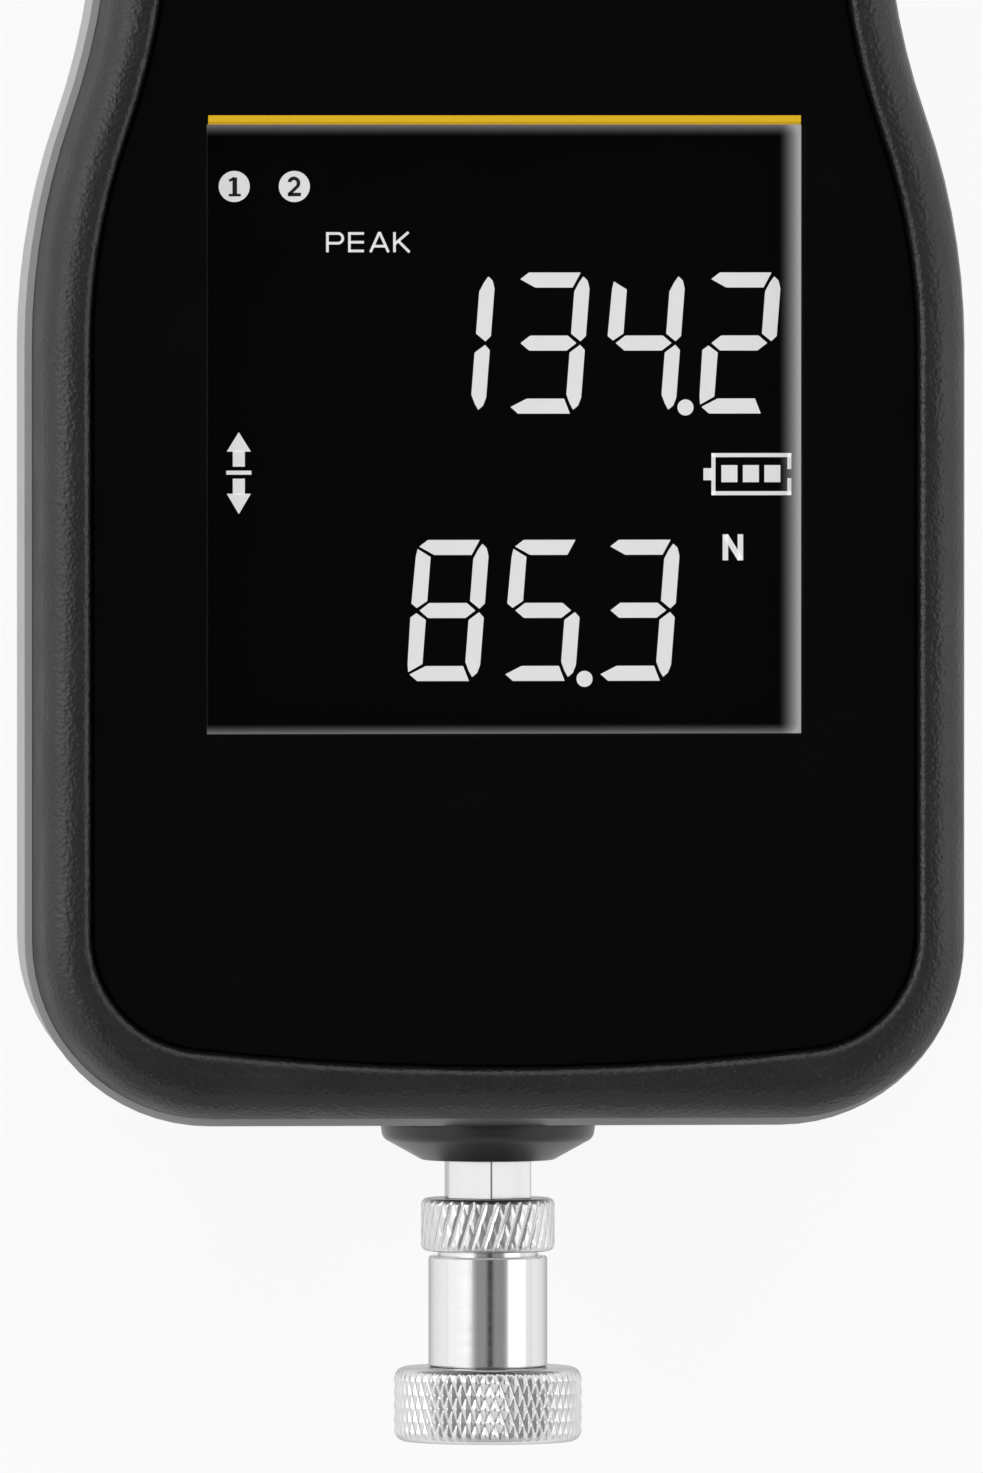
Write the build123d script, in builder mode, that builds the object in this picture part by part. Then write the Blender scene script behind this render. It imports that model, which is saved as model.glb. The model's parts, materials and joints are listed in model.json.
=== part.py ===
"""Hand-held digital force gauge with a hexagonal measuring spindle and a knurled pressure foot.

The gauge lies on its flat back: +Z is the display's outward normal, -Y is the way the spindle points,
+X is to the right of someone who reads the display with the spindle pointing down. The origin is the
middle of the overall length and width, on the plane of the back. All sizes are in millimetres.

The case is two moulded half shells. The lower one carries the load cell on a bracket, the threaded
inserts for a test stand and the battery bay. The upper one carries the display, the board and the keys.
"""

import os
from math import atan, cos, degrees, radians, sin, tan

from build123d import *

# Case
case_length = 205.0
head_width = 90.0
grip_width = 75.0
case_height = 42.0
head_corner_radius = 17.7
grip_corner_radius = 16.0
waist_start = 74.5
waist_length = 44.0
bezel_depth = 13.0
wall = 2.5
floor_thickness = 2.5
rear_draft = 1.5
front_draft = 2.0
front_step = 0.7
back_edge_radius = 7.0
rim_outer_radius = 3.5
rim_inner_radius = 0.8
fit_gap = 0.15

# Sealing lip between the half shells
lip_inset = 1.4
lip_thickness = 1.0
lip_depth = 1.5
lip_gap = 0.1
seal_thickness = 0.8

# Front panel and its recess
panel_inset = 5.7
panel_end_inset = 6.0
panel_bow = 3.0
panel_corner_radius = 11.0
panel_thickness = 1.0
panel_drop = 1.0
panel_edge_chamfer = 0.25
face_thickness = 2.0

# Display
window_width = 56.7
window_length = 57.9
window_start = 37.7
window_chamfer = 0.25
lens_thickness = 0.8
lens_overlap = 1.5
glass_margin = 2.7
glass_thickness = 2.2
gasket_thickness = 0.5
backlight_thickness = 3.0
tray_floor = 0.8
frame_wall = 1.2

# Board
board_thickness = 1.6
board_head_half_width = 34.0
board_neck_half_width = 21.5
board_start = 24.0
board_head_end = 100.0
board_past_keys = 10.0
board_post_radius = 2.9
board_screw_radius = 1.1
board_screw_head_radius = 2.2
board_screw_length = 6.0
board_screw_head_height = 1.3
buzzer_radius = 6.0
buzzer_height = 5.0

# Keys: two columns and three rows on the grip
key_width = 19.0
key_fill = 0.6
key_corner_radius = 3.5
key_column_x = 15.0
key_pitch_share = 0.22
key_travel = 1.0
key_gap = 0.3
key_flange = 1.2
key_flange_thickness = 0.9
key_top_fillet = 0.8
key_stem_radius = 3.0
mat_thickness = 0.8
dome_height = 2.4
dome_radius = 4.6
key_names = [
    ("key_power", "key_light"),
    ("key_zero", "key_peak"),
    ("key_unit", "key_set"),
]

# Case screws: x from the middle, distance from the head end
case_screw_spots = [(30.0, 14.0), (27.5, 104.5)]
case_screw_radius = 1.45
case_screw_head_radius = 2.8
case_screw_head_height = 2.2
case_screw_bite = 5.0
screw_post_radius = 3.8
screw_recess_radius = 3.1
screw_recess_depth = 13.0

# Threaded inserts for a test stand, M4
insert_spacing_x = 50.0
insert_spacing_y = 36.0
insert_start = 26.0
insert_bore_radius = 1.65
insert_radius = 2.9
insert_length = 6.5
insert_boss_radius = 4.6

# Spindle train, from the case outwards, all on the load axis
load_axis_drop = 9.0
collar_radius = 10.3
collar_height = 3.6
collar_land = 1.5
collar_tip_radius = 6.3
collar_spigot_radius = 6.5
collar_seat_depth = 3.4
collar_nut_thickness = 3.0
collar_nut_across_flats = 17.0
hex_across_flats = 8.0
hex_shown = 3.6
hex_clearance = 0.25
hex_edge_radius = 0.3
lock_ring_radius = 6.4
lock_ring_length = 5.2
sleeve_radius = 5.7
sleeve_length = 11.0
foot_radius = 9.0
foot_length = 7.2
foot_edge_radius = 1.1
stud_radius = 3.0
turning_gap = 0.05
spigot_radius = 4.0
spigot_length = 4.0
sleeve_bore_depth = 6.0
spindle_travel = 0.4

# Load cell and its bracket
cell_start = 14.0
cell_length = 34.0
cell_width = 26.0
cell_thickness_share = 0.3
cell_thread_depth = 7.0
cell_slot = 2.0
cell_eye_radius = 5.0
cell_eye_spacing = 9.0
jam_nut_thickness = 5.0
m6_across_flats = 10.0
bracket_thickness = 3.0
bracket_wall = 4.0
bracket_half_width = 19.0
bracket_wall_half_width = 15.0
bracket_reach = 16.0
bracket_boss_height = 2.0
bracket_boss_radius = 4.0
bracket_screw_radius = 1.5
bracket_screw_head_radius = 2.9
bracket_screw_head_height = 2.0
bracket_screw_length = 6.0

# Battery bay and door
cell_count = 4
battery_radius = 7.25
battery_length = 49.5
battery_nub_radius = 2.75
battery_nub_length = 1.0
battery_gap = 0.35
bay_wall = 2.2
bay_end_wall = 4.0
bay_ceiling = 1.5
contact_thickness = 0.4
contact_width = 10.0
contact_height = 10.0
leaf_height = 4.1
door_thickness = 2.2
door_lip_height = 4.0
door_tongue = 0.7
door_tongue_thickness = 0.9
door_tab_half_width = 6.0
door_tab_length = 1.4
door_ridge_count = 5
door_ridge_pitch = 3.0
door_ridge_width = 1.2
door_ridge_depth = 0.5
door_ridge_place = 14.0

# Data socket in the side of the grip
socket_width = 9.0
socket_height = 3.3
socket_length = 7.4
socket_wall = 0.3
socket_share = 0.36
socket_corner_radius = 1.2
socket_board_inset = 3.7

# Ribs on the floor between the load cell's bracket and the battery bay
rib_thickness = 1.2
rib_height = 4.0
rib_x = 12.0
rib_pitch = 20.0
rib_rows = 3

# Cable from the load cell to the board
cable_radius = 1.0

# Overall placing: distances along the case are measured from its head end
stick_out = collar_height + hex_shown + lock_ring_length + sleeve_length + foot_length
head_y = (stick_out - case_length) / 2
parting_z = case_height - bezel_depth
face_top_z = case_height - panel_thickness - panel_drop
face_bottom_z = face_top_z - face_thickness
window_middle = window_start + window_length / 2
glass_top_z = face_bottom_z - gasket_thickness
light_top_z = glass_top_z - glass_thickness
light_bottom_z = light_top_z - backlight_thickness
board_top_z = light_bottom_z - tray_floor
board_bottom_z = board_top_z - board_thickness
waist_end = waist_start + waist_length
grip_length = case_length - waist_end
key_pitch = key_pitch_share * grip_length
key_length = key_fill * key_pitch
key_last_row = waist_end + (len(key_names) - 1) * key_pitch
board_end = key_last_row + key_length / 2 + board_past_keys
board_screw_spots = [
    (30.0, board_start + 4.5),
    (18.0, board_head_end + 4.5),
    (18.0, board_end - 4.5),
]
case_screw_length = face_bottom_z - case_screw_bite - screw_recess_depth
load_axis_z = parting_z - load_axis_drop
cell_end = cell_start + cell_length
cell_thickness = cell_thickness_share * case_height
bay_end = case_length - bay_end_wall
socket_along = waist_end + socket_share * grip_length
socket_seat_x = grip_width / 2 - socket_board_inset
socket_z = board_top_z + socket_height / 2
bay_half_width = cell_count * (battery_radius + battery_gap)
bay_start = bay_end - (
    battery_length
    + battery_nub_length
    + contact_thickness
    + leaf_height
    + contact_thickness
)
battery_axis_z = door_thickness + battery_gap + battery_radius
bay_top_z = battery_axis_z + battery_radius + 1.0
door_half_width = bay_half_width + 0.4
door_start = bay_start - bay_wall

waist_angle = 2 * degrees(atan((head_width - grip_width) / 2 / waist_length))
waist_radius = waist_length / (2 * sin(radians(waist_angle)))

os.makedirs("parts", exist_ok=True)


def along(distance):
    """Y of a point at a distance from the head end of the case."""
    return head_y + distance


def save(name, part):
    part.label = name
    export_step(part, f"parts/{name}.step")


def load_plane(distance):
    """Plane square to the load axis, whose normal points the way the spindle does."""
    return Plane(
        origin=(0, along(distance), load_axis_z), x_dir=(1, 0, 0), z_dir=(0, -1, 0)
    )


def both_sides(spots):
    """Mirrored pairs of places from (x, distance along the case)."""
    return [(side * x, along(d)) for x, d in spots for side in (-1, 1)]


def case_outline(inset=0.0):
    """Face bounded by the case outline, a given distance inside its widest line."""
    outer = head_width / 2 - inset
    with BuildSketch() as outline:
        with BuildLine():
            start = Line((0, along(inset)), (head_width / 2 - head_corner_radius, along(inset)))
            corner = JernArc(start @ 1, (1, 0), head_corner_radius - inset, 90)
            side = Line(corner @ 1, (outer, along(waist_start)))
            shoulder = JernArc(side @ 1, (0, 1), waist_radius - inset, waist_angle)
            hollow = JernArc(shoulder @ 1, shoulder % 1, waist_radius + inset, -waist_angle)
            grip_edge = (grip_width / 2 - inset, along(case_length - grip_corner_radius))
            grip = Line(hollow @ 1, grip_edge)
            end_corner = JernArc(grip @ 1, (0, 1), grip_corner_radius - inset, 90)
            Line(end_corner @ 1, (0, along(case_length - inset)))
            mirror(about=Plane.YZ)
        make_face()
    return outline.sketch


def panel_outline(gap=0.0):
    """Face of the front panel: it follows the waist, and both ends are bowed outwards."""
    inset = panel_inset + gap
    low, high = along(panel_end_inset + gap), along(case_length - panel_end_inset - gap)
    head_x, grip_x = head_width / 2 - inset, grip_width / 2 - inset
    grip_bow = panel_bow * (grip_x / head_x) ** 2
    with BuildSketch() as outline:
        with BuildLine():
            side = Line((head_x, low + panel_bow), (head_x, along(waist_start)))
            shoulder = JernArc(side @ 1, (0, 1), waist_radius - inset, waist_angle)
            hollow = JernArc(shoulder @ 1, shoulder % 1, waist_radius + inset, -waist_angle)
            Line(hollow @ 1, (grip_x, high - grip_bow))
            mirror(about=Plane.YZ)
            ThreePointArc((-head_x, low + panel_bow), (0, low), (head_x, low + panel_bow))
            ThreePointArc((-grip_x, high - grip_bow), (0, high), (grip_x, high - grip_bow))
        make_face()
        corners = outline.vertices().sort_by(Axis.Y)
        fillet(corners[:2] + corners[-2:], radius=panel_corner_radius - gap)
    return outline.sketch


def key_places():
    """(name, x, y) of each key."""
    return [
        (name, side * key_column_x, along(waist_end + row * key_pitch))
        for row, pair in enumerate(key_names)
        for name, side in zip(pair, (-1, 1))
    ]


def turned(profile_points, distance):
    """Ring or disc on the load axis from half of its section.

    Each point is (radius, length outwards from the given distance along the case).
    """
    section = Plane(origin=(0, along(distance), load_axis_z), x_dir=(1, 0, 0))
    with BuildPart() as blank:
        with BuildSketch(section):
            with BuildLine():
                Polyline([(r, -out) for r, out in profile_points], close=True)
            make_face()
        revolve(axis=Axis((0, 0, load_axis_z), (0, 1, 0)))
    return blank


# Outer form and cavity of the rear half: drafted towards the back, with a rounded back edge.
with BuildPart() as rear_form:
    with BuildSketch(Plane.XY.offset(parting_z)):
        add(case_outline())
    extrude(amount=-parting_z, taper=rear_draft)
    fillet(rear_form.faces().sort_by(Axis.Z)[0].edges(), back_edge_radius)

with BuildPart() as rear_cavity:
    with BuildSketch(Plane.XY.offset(parting_z)):
        add(case_outline(wall))
    extrude(amount=-(parting_z - floor_thickness), taper=rear_draft)
    fillet(rear_cavity.faces().sort_by(Axis.Z)[0].edges(), back_edge_radius - wall)


def door_form(clearance=0.0):
    """Battery door: the skin of the back over the bay, with its share of the rounded end."""
    half = door_half_width + clearance
    with BuildPart() as form:
        with BuildSketch():
            with Locations((0, along((door_start + case_length) / 2 + 1))):
                Rectangle(2 * half, case_length - door_start + 2 + 2 * clearance)
        extrude(amount=door_lip_height + clearance)
        add(rear_form.part, mode=Mode.INTERSECT)
        # Hollow above the plate, up to the inside of the end wall.
        with BuildSketch(Plane.XY.offset(door_thickness + clearance)):
            with Locations((0, along((door_start + bay_end) / 2))):
                Rectangle(2 * half + 2, bay_end - door_start + 2 * clearance + 0.6)
        extrude(amount=door_lip_height, mode=Mode.SUBTRACT)
        # Tongues that run in grooves along both sides, and the tab at the front edge.
        tongue_z = (door_thickness - door_tongue_thickness) / 2 - clearance
        with BuildSketch(Plane.XY.offset(tongue_z)):
            with Locations((0, along((bay_start + bay_end) / 2 - 2))):
                Rectangle(2 * (half + door_tongue), bay_end - bay_start - 6 + clearance)
            with Locations((0, along(door_start + 2))):
                Rectangle(
                    2 * (door_tab_half_width + clearance),
                    2 * (door_tab_length + 2 + clearance),
                )
        extrude(amount=door_tongue_thickness + 2 * clearance)
    return form


# Solid from which the battery bay is cut
with BuildPart() as bay_block:
    with BuildSketch():
        with Locations((0, along((door_start - bay_wall + case_length) / 2))):
            Rectangle(2 * (bay_half_width + bay_wall), case_length - door_start + bay_wall)
    extrude(amount=bay_top_z + bay_ceiling)
    add(rear_form.part, mode=Mode.INTERSECT)

# Ribs that stiffen the floor, out to the side walls
rib_start = cell_end + bracket_reach + 6.0
with BuildPart() as floor_ribs:
    with BuildSketch(Plane.XY.offset(floor_thickness / 2)):
        for side in (-1, 1):
            with Locations((side * rib_x, along((rib_start + door_start) / 2))):
                Rectangle(rib_thickness, door_start - rib_start)
        for row in range(rib_rows):
            with Locations((0, along(rib_start + 6.0 + row * rib_pitch))):
                Rectangle(head_width, rib_thickness)
    extrude(amount=floor_thickness / 2 + rib_height)
    add(rear_form.part, mode=Mode.INTERSECT)

# Rear shell
with BuildPart() as rear_shell:
    add(rear_form.part)
    add(rear_cavity.part, mode=Mode.SUBTRACT)
    # Flat seat for the spindle's collar.
    with BuildSketch(load_plane(0)) as seat:
        Circle(collar_radius + 0.4)
        with Locations((0, parting_z - load_axis_z + collar_radius)):
            Rectangle(4 * collar_radius, 2 * collar_radius, mode=Mode.SUBTRACT)
    extrude(amount=-collar_seat_depth)
    with BuildSketch(load_plane(0)):
        Circle(collar_spigot_radius + turning_gap)
    extrude(amount=-2 * collar_seat_depth, mode=Mode.SUBTRACT)
    # Rebate for the seal and the front shell's lip.
    with BuildSketch(Plane.XY.offset(parting_z)):
        add(case_outline(lip_inset - lip_gap))
    extrude(amount=-(lip_depth + seal_thickness), mode=Mode.SUBTRACT)
    # Screw posts, insert bosses and bracket bosses, all grown from the floor.
    with BuildSketch(Plane.XY.offset(floor_thickness / 2)):
        with Locations(both_sides(case_screw_spots)):
            Circle(screw_post_radius)
    extrude(amount=parting_z - lip_depth - seal_thickness - floor_thickness / 2)
    with BuildSketch(Plane.XY.offset(floor_thickness / 2)):
        for d in (insert_start, insert_start + insert_spacing_y):
            with Locations(both_sides([(insert_spacing_x / 2, d)])):
                Circle(insert_boss_radius)
    extrude(amount=insert_length + 1.0 - floor_thickness / 2)
    bracket_screw_spots = [
        (bracket_half_width - bracket_boss_radius, cell_start + 4.0),
        (bracket_half_width - bracket_boss_radius, cell_end + bracket_reach - 2.0),
    ]
    with BuildSketch(Plane.XY.offset(floor_thickness / 2)):
        with Locations(both_sides(bracket_screw_spots)):
            Circle(bracket_boss_radius)
    extrude(amount=floor_thickness / 2 + bracket_boss_height)
    # Battery bay: an open box whose mouth is in the back.
    add(bay_block.part)
    add(floor_ribs.part)
    bay_middle = along((bay_start + bay_end) / 2)
    with BuildSketch():
        with Locations((0, bay_middle)):
            Rectangle(2 * bay_half_width, bay_end - bay_start)
    extrude(amount=bay_top_z, mode=Mode.SUBTRACT)
    add(door_form(fit_gap).part, mode=Mode.SUBTRACT)
    # The door's way out: plate, end lip and tongues leave towards the grip end.
    with BuildSketch():
        with Locations((0, along((bay_end + case_length) / 2))):
            Rectangle(2 * (door_half_width + fit_gap), case_length - bay_end + 4)
    extrude(amount=door_lip_height + fit_gap, mode=Mode.SUBTRACT)
    groove_z = (door_thickness - door_tongue_thickness) / 2 - fit_gap
    with BuildSketch(Plane.XY.offset(groove_z)):
        with Locations((0, along((bay_start + case_length) / 2))):
            Rectangle(
                2 * (door_half_width + door_tongue + fit_gap),
                case_length - bay_start + 4,
            )
    extrude(amount=door_tongue_thickness + 2 * fit_gap, mode=Mode.SUBTRACT)
    # Screw recesses from the back, clearance holes, insert bores and pilot holes.
    with BuildSketch():
        with Locations(both_sides(case_screw_spots)):
            Circle(screw_recess_radius)
    extrude(amount=screw_recess_depth, mode=Mode.SUBTRACT)
    with BuildSketch():
        with Locations(both_sides(case_screw_spots)):
            Circle(case_screw_radius + fit_gap)
    extrude(amount=parting_z, mode=Mode.SUBTRACT)
    with BuildSketch():
        for d in (insert_start, insert_start + insert_spacing_y):
            with Locations(both_sides([(insert_spacing_x / 2, d)])):
                Circle(insert_radius)
    extrude(amount=insert_length, mode=Mode.SUBTRACT)
    boss_top_z = floor_thickness + bracket_boss_height
    pilot_depth = bracket_screw_length - bracket_thickness + 0.3
    with BuildSketch(Plane.XY.offset(boss_top_z)):
        with Locations(both_sides(bracket_screw_spots)):
            Circle(bracket_screw_radius)
    extrude(amount=-pilot_depth, mode=Mode.SUBTRACT)
save("rear_shell", rear_shell.part)

# Battery door with grip ridges cut in its outside
with BuildPart() as battery_door:
    add(door_form().part)
    with BuildSketch():
        with Locations((0, along(door_start + door_ridge_place))):
            with GridLocations(0, door_ridge_pitch, 1, door_ridge_count):
                SlotOverall(door_half_width, door_ridge_width)
    extrude(amount=door_ridge_depth, mode=Mode.SUBTRACT)
save("battery_door", battery_door.part)

# Front shell: bezel with a rounded rim, face plate, lip, posts and key openings
with BuildPart() as front_cavity:
    cavity_height = face_bottom_z - parting_z
    with BuildSketch(Plane.XY.offset(face_bottom_z)):
        add(case_outline(front_step + wall + cavity_height * tan(radians(front_draft))))
    extrude(amount=-cavity_height, taper=-front_draft)
    fillet(front_cavity.faces().sort_by(Axis.Z)[-1].edges(), 1.2)

with BuildPart() as front_shell:
    bezel_height = case_height - parting_z
    with BuildSketch(Plane.XY.offset(case_height)):
        add(case_outline(front_step + bezel_height * tan(radians(front_draft))))
    extrude(amount=-bezel_height, taper=-front_draft)
    fillet(front_shell.faces().sort_by(Axis.Z)[-1].edges(), rim_outer_radius)
    with BuildSketch(Plane.XY.offset(case_height)):
        add(panel_outline(-fit_gap))
    extrude(amount=face_top_z - case_height, mode=Mode.SUBTRACT)
    rim = front_shell.faces().sort_by(Axis.Z)[-1]
    fillet(rim.inner_wires()[0].edges(), rim_inner_radius)
    add(front_cavity.part, mode=Mode.SUBTRACT)
    # Lip that enters the rear shell.
    with BuildSketch(Plane.XY.offset(parting_z)):
        add(case_outline(lip_inset))
        add(case_outline(lip_inset + lip_thickness), mode=Mode.SUBTRACT)
    extrude(amount=-lip_depth)
    # Posts for the case screws and for the board.
    with BuildSketch(Plane.XY.offset(face_bottom_z + 0.5)):
        with Locations(both_sides(case_screw_spots)):
            Circle(screw_post_radius)
    extrude(amount=-(face_bottom_z + 0.5 - parting_z + lip_depth + seal_thickness))
    with BuildSketch(Plane.XY.offset(face_bottom_z + 0.5)):
        with Locations(both_sides(board_screw_spots)):
            Circle(board_post_radius)
    extrude(amount=-(face_bottom_z + 0.5 - board_top_z))
    # Window with a ledge for the lens, and the key openings.
    with BuildSketch(Plane.XY.offset(face_top_z)):
        with Locations((0, along(window_middle))):
            Rectangle(window_width + 1.0, window_length + 1.0)
    extrude(amount=-face_thickness - 0.5, mode=Mode.SUBTRACT)
    with BuildSketch(Plane.XY.offset(face_top_z)):
        with Locations((0, along(window_middle))):
            Rectangle(
                window_width + 2 * lens_overlap + 2 * fit_gap,
                window_length + 2 * lens_overlap + 2 * fit_gap,
            )
    extrude(amount=-lens_thickness, mode=Mode.SUBTRACT)
    with BuildSketch(Plane.XY.offset(face_top_z)):
        with Locations([(x, y) for _, x, y in key_places()]):
            RectangleRounded(
                key_width + 2 * key_gap,
                key_length + 2 * key_gap,
                key_corner_radius + key_gap,
            )
    extrude(amount=-face_thickness - 0.5, mode=Mode.SUBTRACT)
    # Pilot holes for the case screws and the board screws.
    with BuildSketch(Plane.XY.offset(parting_z - lip_depth - seal_thickness)):
        with Locations(both_sides(case_screw_spots)):
            Circle(case_screw_radius)
    extrude(
        amount=screw_recess_depth + case_screw_length - parting_z + lip_depth
        + seal_thickness + 0.3,
        mode=Mode.SUBTRACT,
    )
    with BuildSketch(Plane.XY.offset(board_top_z)):
        with Locations(both_sides(board_screw_spots)):
            Circle(board_screw_radius)
    extrude(amount=board_screw_length - board_thickness + 0.3, mode=Mode.SUBTRACT)
    # Opening for the data socket in the right side of the grip.
    side_mouth = Plane(
        origin=(grip_width / 2, along(socket_along), socket_z),
        x_dir=(0, 1, 0),
        z_dir=(1, 0, 0),
    )
    with BuildSketch(side_mouth):
        RectangleRounded(
            socket_width + 2 * fit_gap, socket_height + 2 * fit_gap, socket_corner_radius
        )
    extrude(amount=-2 * (wall + front_step), mode=Mode.SUBTRACT)
save("front_shell", front_shell.part)

# Front panel: a thin dark sheet in the recess
with BuildPart() as front_panel:
    with BuildSketch(Plane.XY.offset(face_top_z)):
        add(panel_outline())
    extrude(amount=panel_thickness)
    chamfer(front_panel.faces().sort_by(Axis.Z)[-1].edges(), panel_edge_chamfer)
    with BuildSketch(Plane.XY.offset(face_top_z)):
        with Locations((0, along(window_middle))):
            Rectangle(window_width, window_length)
        with Locations([(x, y) for _, x, y in key_places()]):
            RectangleRounded(
                key_width + 2 * key_gap, key_length + 2 * key_gap, key_corner_radius + key_gap
            )
    extrude(amount=panel_thickness, mode=Mode.SUBTRACT)
    window_rim = front_panel.faces().sort_by(Axis.Z)[-1].inner_wires()
    chamfer(max(window_rim, key=lambda w: w.length).edges(), window_chamfer)
save("front_panel", front_panel.part)

# Display: clear lens, gasket, glass, light guide and the tray that holds them
glass_width = window_width + 2 * glass_margin
glass_length = window_length + 2 * glass_margin
window_place = (0, along(window_middle))

with BuildPart() as display_lens:
    with BuildSketch(Plane.XY.offset(face_top_z - lens_thickness)):
        with Locations(window_place):
            Rectangle(window_width + 2 * lens_overlap, window_length + 2 * lens_overlap)
    extrude(amount=lens_thickness)
save("display_lens", display_lens.part)

with BuildPart() as lcd_gasket:
    with BuildSketch(Plane.XY.offset(glass_top_z)):
        with Locations(window_place):
            Rectangle(glass_width, glass_length)
            Rectangle(window_width + 2.2, window_length + 2.2, mode=Mode.SUBTRACT)
    extrude(amount=gasket_thickness)
save("lcd_gasket", lcd_gasket.part)

with BuildPart() as lcd_glass:
    with BuildSketch(Plane.XY.offset(light_top_z)):
        with Locations(window_place):
            Rectangle(glass_width, glass_length)
    extrude(amount=glass_thickness)
save("lcd_glass", lcd_glass.part)

with BuildPart() as lcd_backlight:
    with BuildSketch(Plane.XY.offset(light_bottom_z)):
        with Locations(window_place):
            Rectangle(glass_width, glass_length)
    extrude(amount=backlight_thickness)
save("lcd_backlight", lcd_backlight.part)

with BuildPart() as lcd_frame:
    with BuildSketch(Plane.XY.offset(board_top_z)):
        with Locations(window_place):
            Rectangle(glass_width + 2 * frame_wall, glass_length + 2 * frame_wall)
    extrude(amount=glass_top_z - board_top_z)
    with BuildSketch(Plane.XY.offset(light_bottom_z)):
        with Locations(window_place):
            Rectangle(glass_width + 0.2, glass_length + 0.2)
    extrude(amount=glass_top_z - light_bottom_z, mode=Mode.SUBTRACT)
save("lcd_frame", lcd_frame.part)

# Main board: wide under the display, narrow under the keys, with an ear for the socket
with BuildPart() as main_board:
    with BuildSketch(Plane.XY.offset(board_bottom_z)):
        with Locations((0, along((board_start + board_head_end) / 2))):
            Rectangle(2 * board_head_half_width, board_head_end - board_start)
        with Locations((0, along((board_start + board_end) / 2))):
            Rectangle(2 * board_neck_half_width, board_end - board_start)
        with Locations((board_neck_half_width, along(socket_along))):
            Rectangle(2 * (socket_seat_x - board_neck_half_width), socket_width + 4)
        with Locations(both_sides(board_screw_spots)):
            Circle(board_screw_radius + fit_gap, mode=Mode.SUBTRACT)
    extrude(amount=board_thickness)
save("main_board", main_board.part)

# Parts on the underside of the board: (x, distance, width, length, height)
component_boxes = [
    (-22.0, 62.0, 14.0, 14.0, 1.6),
    (20.0, 70.0, 9.0, 9.0, 1.4),
    (22.0, 40.0, 5.0, 12.0, 4.0),
    (-12.0, 84.0, 7.0, 11.0, 2.4),
    (6.0, 88.0, 12.0, 5.0, 1.8),
    (-14.0, 118.0, 5.0, 10.0, 4.0),
    (10.0, 120.0, 8.0, 8.0, 3.0),
]
with BuildPart() as board_components:
    for x, d, width, length, height in component_boxes:
        with BuildSketch(Plane.XY.offset(board_bottom_z)):
            with Locations((x, along(d))):
                Rectangle(width, length)
        extrude(amount=-height)
save("board_components", board_components.part)

buzzer_place = (0, along(waist_end + grip_length / 4))
with BuildPart() as buzzer:
    with BuildSketch(Plane.XY.offset(board_bottom_z)):
        with Locations(buzzer_place):
            Circle(buzzer_radius)
    extrude(amount=-buzzer_height)
    with BuildSketch(Plane.XY.offset(board_bottom_z - buzzer_height)):
        with Locations(buzzer_place):
            Circle(buzzer_radius / 5)
    extrude(amount=buzzer_height / 2, mode=Mode.SUBTRACT)
save("buzzer", buzzer.part)

with BuildPart() as board_screws:
    with BuildSketch(Plane.XY.offset(board_bottom_z)):
        with Locations(both_sides(board_screw_spots)):
            Circle(board_screw_head_radius)
    extrude(amount=-board_screw_head_height)
    with BuildSketch(Plane.XY.offset(board_bottom_z)):
        with Locations(both_sides(board_screw_spots)):
            Circle(board_screw_radius)
    extrude(amount=board_screw_length)
save("board_screws", board_screws.part)

# Data socket: a shell with a tongue, open outwards
with BuildPart() as usb_socket:
    socket_mouth = Plane(
        origin=(socket_seat_x + 1.2, along(socket_along), socket_z),
        x_dir=(0, 1, 0),
        z_dir=(1, 0, 0),
    )
    with BuildSketch(socket_mouth):
        RectangleRounded(socket_width, socket_height, socket_corner_radius)
    extrude(amount=-socket_length)
    with BuildSketch(socket_mouth):
        RectangleRounded(
            socket_width - 2 * socket_wall,
            socket_height - 2 * socket_wall,
            socket_corner_radius - socket_wall,
        )
        RectangleRounded(6.4, 0.7, 0.3, mode=Mode.SUBTRACT)
    extrude(amount=-(socket_length - 1.0), mode=Mode.SUBTRACT)
save("usb_socket", usb_socket.part)

# Keys and the rubber mat with their domes
flange_top_z = face_bottom_z - key_gap / 3
flange_bottom_z = flange_top_z - key_flange_thickness
dome_top_z = board_top_z + mat_thickness + dome_height
for name, x, y in key_places():
    with BuildPart() as key:
        with BuildSketch(Plane.XY.offset(flange_bottom_z)):
            with Locations((x, y)):
                RectangleRounded(key_width, key_length, key_corner_radius)
        extrude(amount=case_height - flange_bottom_z)
        fillet(key.faces().sort_by(Axis.Z)[-1].edges(), key_top_fillet)
        with BuildSketch(Plane.XY.offset(flange_bottom_z)):
            with Locations((x, y)):
                RectangleRounded(
                    key_width + 2 * key_flange, key_length + 2 * key_flange, key_corner_radius
                )
        extrude(amount=key_flange_thickness)
        with BuildSketch(Plane.XY.offset(flange_bottom_z)):
            with Locations((x, y)):
                Circle(key_stem_radius)
        extrude(amount=dome_top_z + turning_gap - flange_bottom_z)
    save(name, key.part)

mat_half_width = key_column_x + dome_radius + 1.0
mat_start = waist_end - dome_radius - 2.0
mat_end = key_last_row + dome_radius + 2.0
with BuildPart() as keypad_mat:
    with BuildSketch(Plane.XY.offset(board_top_z)):
        with Locations((0, along((mat_start + mat_end) / 2))):
            Rectangle(2 * mat_half_width, mat_end - mat_start)
    extrude(amount=mat_thickness)
    with Locations([(x, y, board_top_z + mat_thickness) for _, x, y in key_places()]):
        Cone(
            dome_radius, key_stem_radius, dome_height, align=(Align.CENTER, Align.CENTER, Align.MIN)
        )
save("keypad_mat", keypad_mat.part)

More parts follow.
